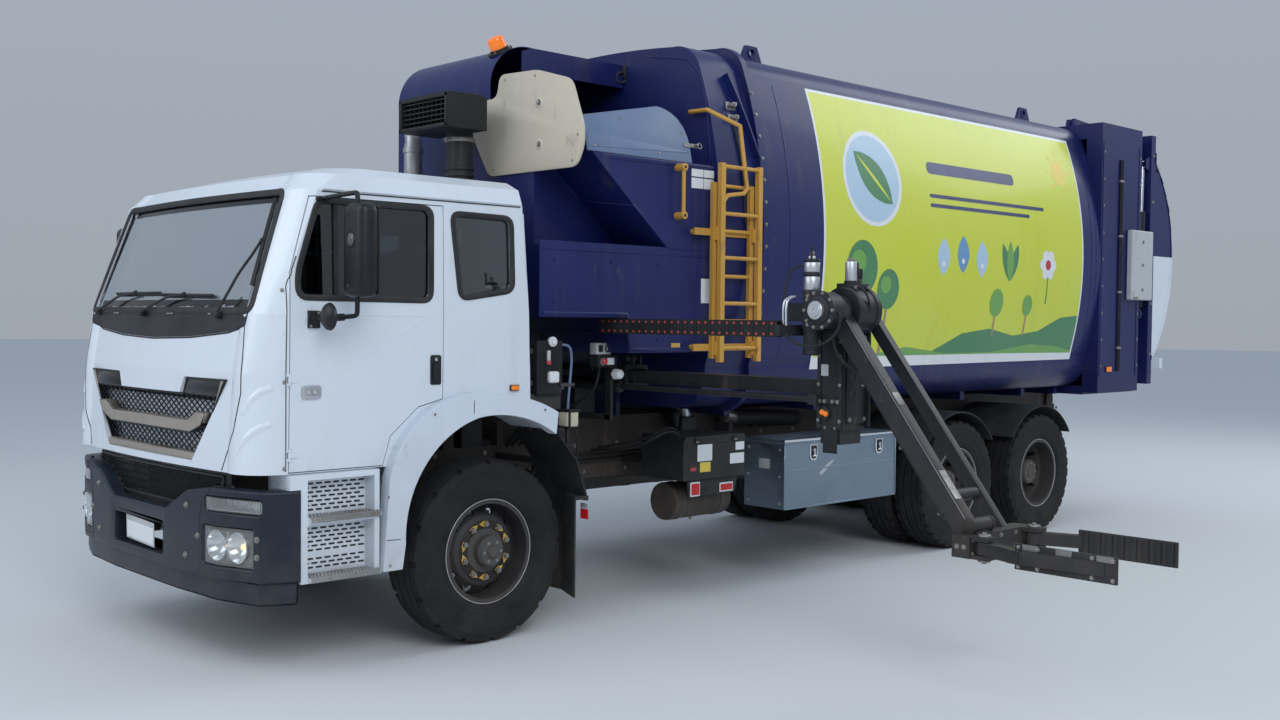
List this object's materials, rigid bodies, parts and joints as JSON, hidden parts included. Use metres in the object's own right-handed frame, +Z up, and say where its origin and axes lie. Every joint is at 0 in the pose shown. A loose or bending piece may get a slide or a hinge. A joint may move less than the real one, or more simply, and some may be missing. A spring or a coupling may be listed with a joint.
{
  "type": "garbage truck",
  "caption": "Three-axle side-loading garbage truck with a sliding bin lifter, tipping body, packer and hinged tailgate.",
  "frame": {"origin": "on the ground under the middle of the whole object's box, lifter arm out", "axes": "+X forwards, +Y to the truck's left, where the lifter reaches out, +Z up"},
  "size_m": [10.198, 5.93, 3.85],
  "materials": {
    "body_blue": "satin",
    "box_alu": "brushed",
    "bumper_grey": "satin",
    "cab_white": "gloss",
    "cast_dark": "matt",
    "chassis_paint": "matt",
    "chrome": "polished",
    "cover_grey": "satin",
    "glass": "polished",
    "lamp": "gloss",
    "lifter_paint": "satin",
    "ochre": "satin",
    "rim_steel": "satin",
    "shield_beige": "satin",
    "trim_black": "matt",
    "tyre": "matt"
  },
  "bodies": {
    "truck": {"axles": "cast_dark", "springs": "cast_dark", "chassis_frame": "chassis_paint", "engine": "cast_dark", "battery_box": "trim_black", "tool_box": "box_alu", "tanks": "trim_black", "cab_shell": "cab_white", "cab_glass": "glass", "cab_interior": "trim_black", "grille": "trim_black", "bumper": "bumper_grey", "front_lamps": "lamp", "front_arches": "cab_white", "mudguards": "trim_black", "steps": "trim_black", "air_intake": "trim_black", "exhaust_stack": "cover_grey"},
    "bed": {"barrel": "body_blue", "rear_frame": "body_blue", "lock_covers": "cover_grey", "body_sills": "chassis_paint", "hopper": "body_blue", "shield": "shield_beige", "hood": "body_blue", "ladder": "ochre", "slide_housing": "lifter_paint"},
    "tailgate": {"tailgate": "body_blue"},
    "gate_barrels": {"gate_barrels": "body_blue"},
    "gate_rods": {"gate_rods": "chrome"},
    "hoist_barrels": {"hoist_barrels": "cast_dark"},
    "hoist_rods": {"hoist_rods": "chrome"},
    "packer": {"packer": "body_blue"},
    "mast": {"mast": "lifter_paint", "energy_chain": "trim_black"},
    "lift_arm": {"lift_arm": "lifter_paint"},
    "jaw_front": {"jaw_front": "lifter_paint"},
    "jaw_rear": {"jaw_rear": "lifter_paint"},
    "track_rod": {"track_rod": "cast_dark"},
    "door_left": {"door_left": "cab_white", "door_glass_left": "glass", "mirror_left": "trim_black"},
    "knuckle_left": {"knuckle_left": "cast_dark"},
    "wheel_front_left": {"tyre_front_left": "tyre", "rim_front_left": "rim_steel"},
    "wheels_mid_left": {"tyres_mid_left": "tyre", "rims_mid_left": "rim_steel"},
    "wheels_rear_left": {"tyres_rear_left": "tyre", "rims_rear_left": "rim_steel"},
    "door_right": {"door_right": "cab_white", "door_glass_right": "glass", "mirror_right": "trim_black"},
    "knuckle_right": {"knuckle_right": "cast_dark"},
    "wheel_front_right": {"tyre_front_right": "tyre", "rim_front_right": "rim_steel"},
    "wheels_mid_right": {"tyres_mid_right": "tyre", "rims_mid_right": "rim_steel"},
    "wheels_rear_right": {"tyres_rear_right": "tyre", "rims_rear_right": "rim_steel"}
  },
  "joints": [
    {"name": "bed_tip", "type": "hinge", "parent": "truck", "child": "bed", "pos_m": [-3.9975, -1.43501, 1.1], "axis": [0, -1, 0], "range_deg": [0, 40]},
    {"name": "tailgate_swing", "type": "hinge", "parent": "bed", "child": "tailgate", "pos_m": [-3.8175, -1.43501, 3.79], "axis": [0, 1, 0], "range_deg": [0, 75]},
    {"name": "packer_stroke", "type": "slide", "parent": "bed", "child": "packer", "axis": [-1, 0, 0], "range_m": [0, 0.6]},
    {"name": "lifter_slide", "type": "slide", "parent": "bed", "child": "mast", "axis": [0, 1, 0], "range_m": [-1.18, 0]},
    {"name": "arm_swing", "type": "hinge", "parent": "mast", "child": "lift_arm", "pos_m": [3.5625, 1.245, 1.91], "axis": [1, 0, 0], "range_deg": [-20, 150]},
    {"name": "jaw_front_grip", "type": "hinge", "parent": "lift_arm", "child": "jaw_front", "pos_m": [2.4355, 2.245, 0.75012], "axis": [0, 0, -1], "range_deg": [-12, 55]},
    {"name": "jaw_rear_grip", "type": "hinge", "parent": "lift_arm", "child": "jaw_rear", "pos_m": [1.9655, 2.245, 0.75012], "axis": [0, 0, -1], "range_deg": [-55, 12]},
    {"name": "gate_cylinder_turn", "type": "hinge", "parent": "bed", "child": "gate_barrels", "pos_m": [-4.3375, -1.43501, 1.95], "axis": [0, 1, 0], "range_deg": [0, 3]},
    {"name": "gate_cylinder_stroke", "type": "slide", "parent": "gate_barrels", "child": "gate_rods", "axis": [-0.0306, 0, 0.9995], "range_m": [0, 0.83]},
    {"name": "hoist_turn", "type": "hinge", "parent": "truck", "child": "hoist_barrels", "pos_m": [-2.3375, -1.43501, 0.88], "axis": [0, -1, 0], "range_deg": [0, 64]},
    {"name": "hoist_stroke", "type": "slide", "parent": "hoist_barrels", "child": "hoist_rods", "axis": [0.9868, 0, 0.1621], "range_m": [0, 0.89]},
    {"name": "door_left_swing", "type": "hinge", "parent": "truck", "child": "door_left", "pos_m": [4.8125, -0.261, 1.14], "axis": [0, 0, -1], "range_deg": [0, 75]},
    {"name": "steer_left", "type": "hinge", "parent": "truck", "child": "knuckle_left", "pos_m": [3.5625, -0.63501, 0.522], "axis": [0, 0, 1], "range_deg": [-35, 35]},
    {"name": "wheel_front_left_spin", "type": "hinge", "parent": "knuckle_left", "child": "wheel_front_left", "pos_m": [3.5625, -0.385, 0.522], "axis": [0, 1, 0], "continuous": true},
    {"name": "wheels_mid_left_spin", "type": "hinge", "parent": "truck", "child": "wheels_mid_left", "pos_m": [-1.1875, -0.535, 0.522], "axis": [0, 1, 0], "continuous": true},
    {"name": "wheels_rear_left_spin", "type": "hinge", "parent": "truck", "child": "wheels_rear_left", "pos_m": [-2.4875, -0.535, 0.522], "axis": [0, 1, 0], "continuous": true},
    {"name": "door_right_swing", "type": "hinge", "parent": "truck", "child": "door_right", "pos_m": [4.8125, -2.609, 1.14], "axis": [0, 0, 1], "range_deg": [0, 75]},
    {"name": "steer_right", "type": "hinge", "parent": "truck", "child": "knuckle_right", "pos_m": [3.5625, -2.23501, 0.522], "axis": [0, 0, 1], "range_deg": [-35, 35]},
    {"name": "wheel_front_right_spin", "type": "hinge", "parent": "knuckle_right", "child": "wheel_front_right", "pos_m": [3.5625, -2.48501, 0.522], "axis": [0, 1, 0], "continuous": true},
    {"name": "wheels_mid_right_spin", "type": "hinge", "parent": "truck", "child": "wheels_mid_right", "pos_m": [-1.1875, -2.33501, 0.522], "axis": [0, 1, 0], "continuous": true},
    {"name": "wheels_rear_right_spin", "type": "hinge", "parent": "truck", "child": "wheels_rear_right", "pos_m": [-2.4875, -2.33501, 0.522], "axis": [0, 1, 0], "continuous": true},
    {"name": "track_rod_turn", "type": "hinge", "parent": "knuckle_left", "child": "track_rod", "pos_m": [3.3725, -0.63501, 0.38], "axis": [0, 0, 1], "range_deg": [-35, 35]}
  ],
  "couplings": [
    {"joint": "jaw_rear_grip", "follows": "jaw_front_grip", "ratio": -1},
    {"joint": "steer_right", "follows": "steer_left", "ratio": 1},
    {"joint": "track_rod_turn", "follows": "steer_left", "ratio": -1},
    {"joint": "gate_cylinder_turn", "follows": "tailgate_swing", "ratio": 0.028841},
    {"joint": "gate_cylinder_stroke", "follows": "tailgate_swing", "m_per_rad": 0.62594},
    {"joint": "hoist_turn", "follows": "bed_tip", "ratio": 1.5878},
    {"joint": "hoist_stroke", "follows": "bed_tip", "m_per_rad": 1.2577}
  ]
}
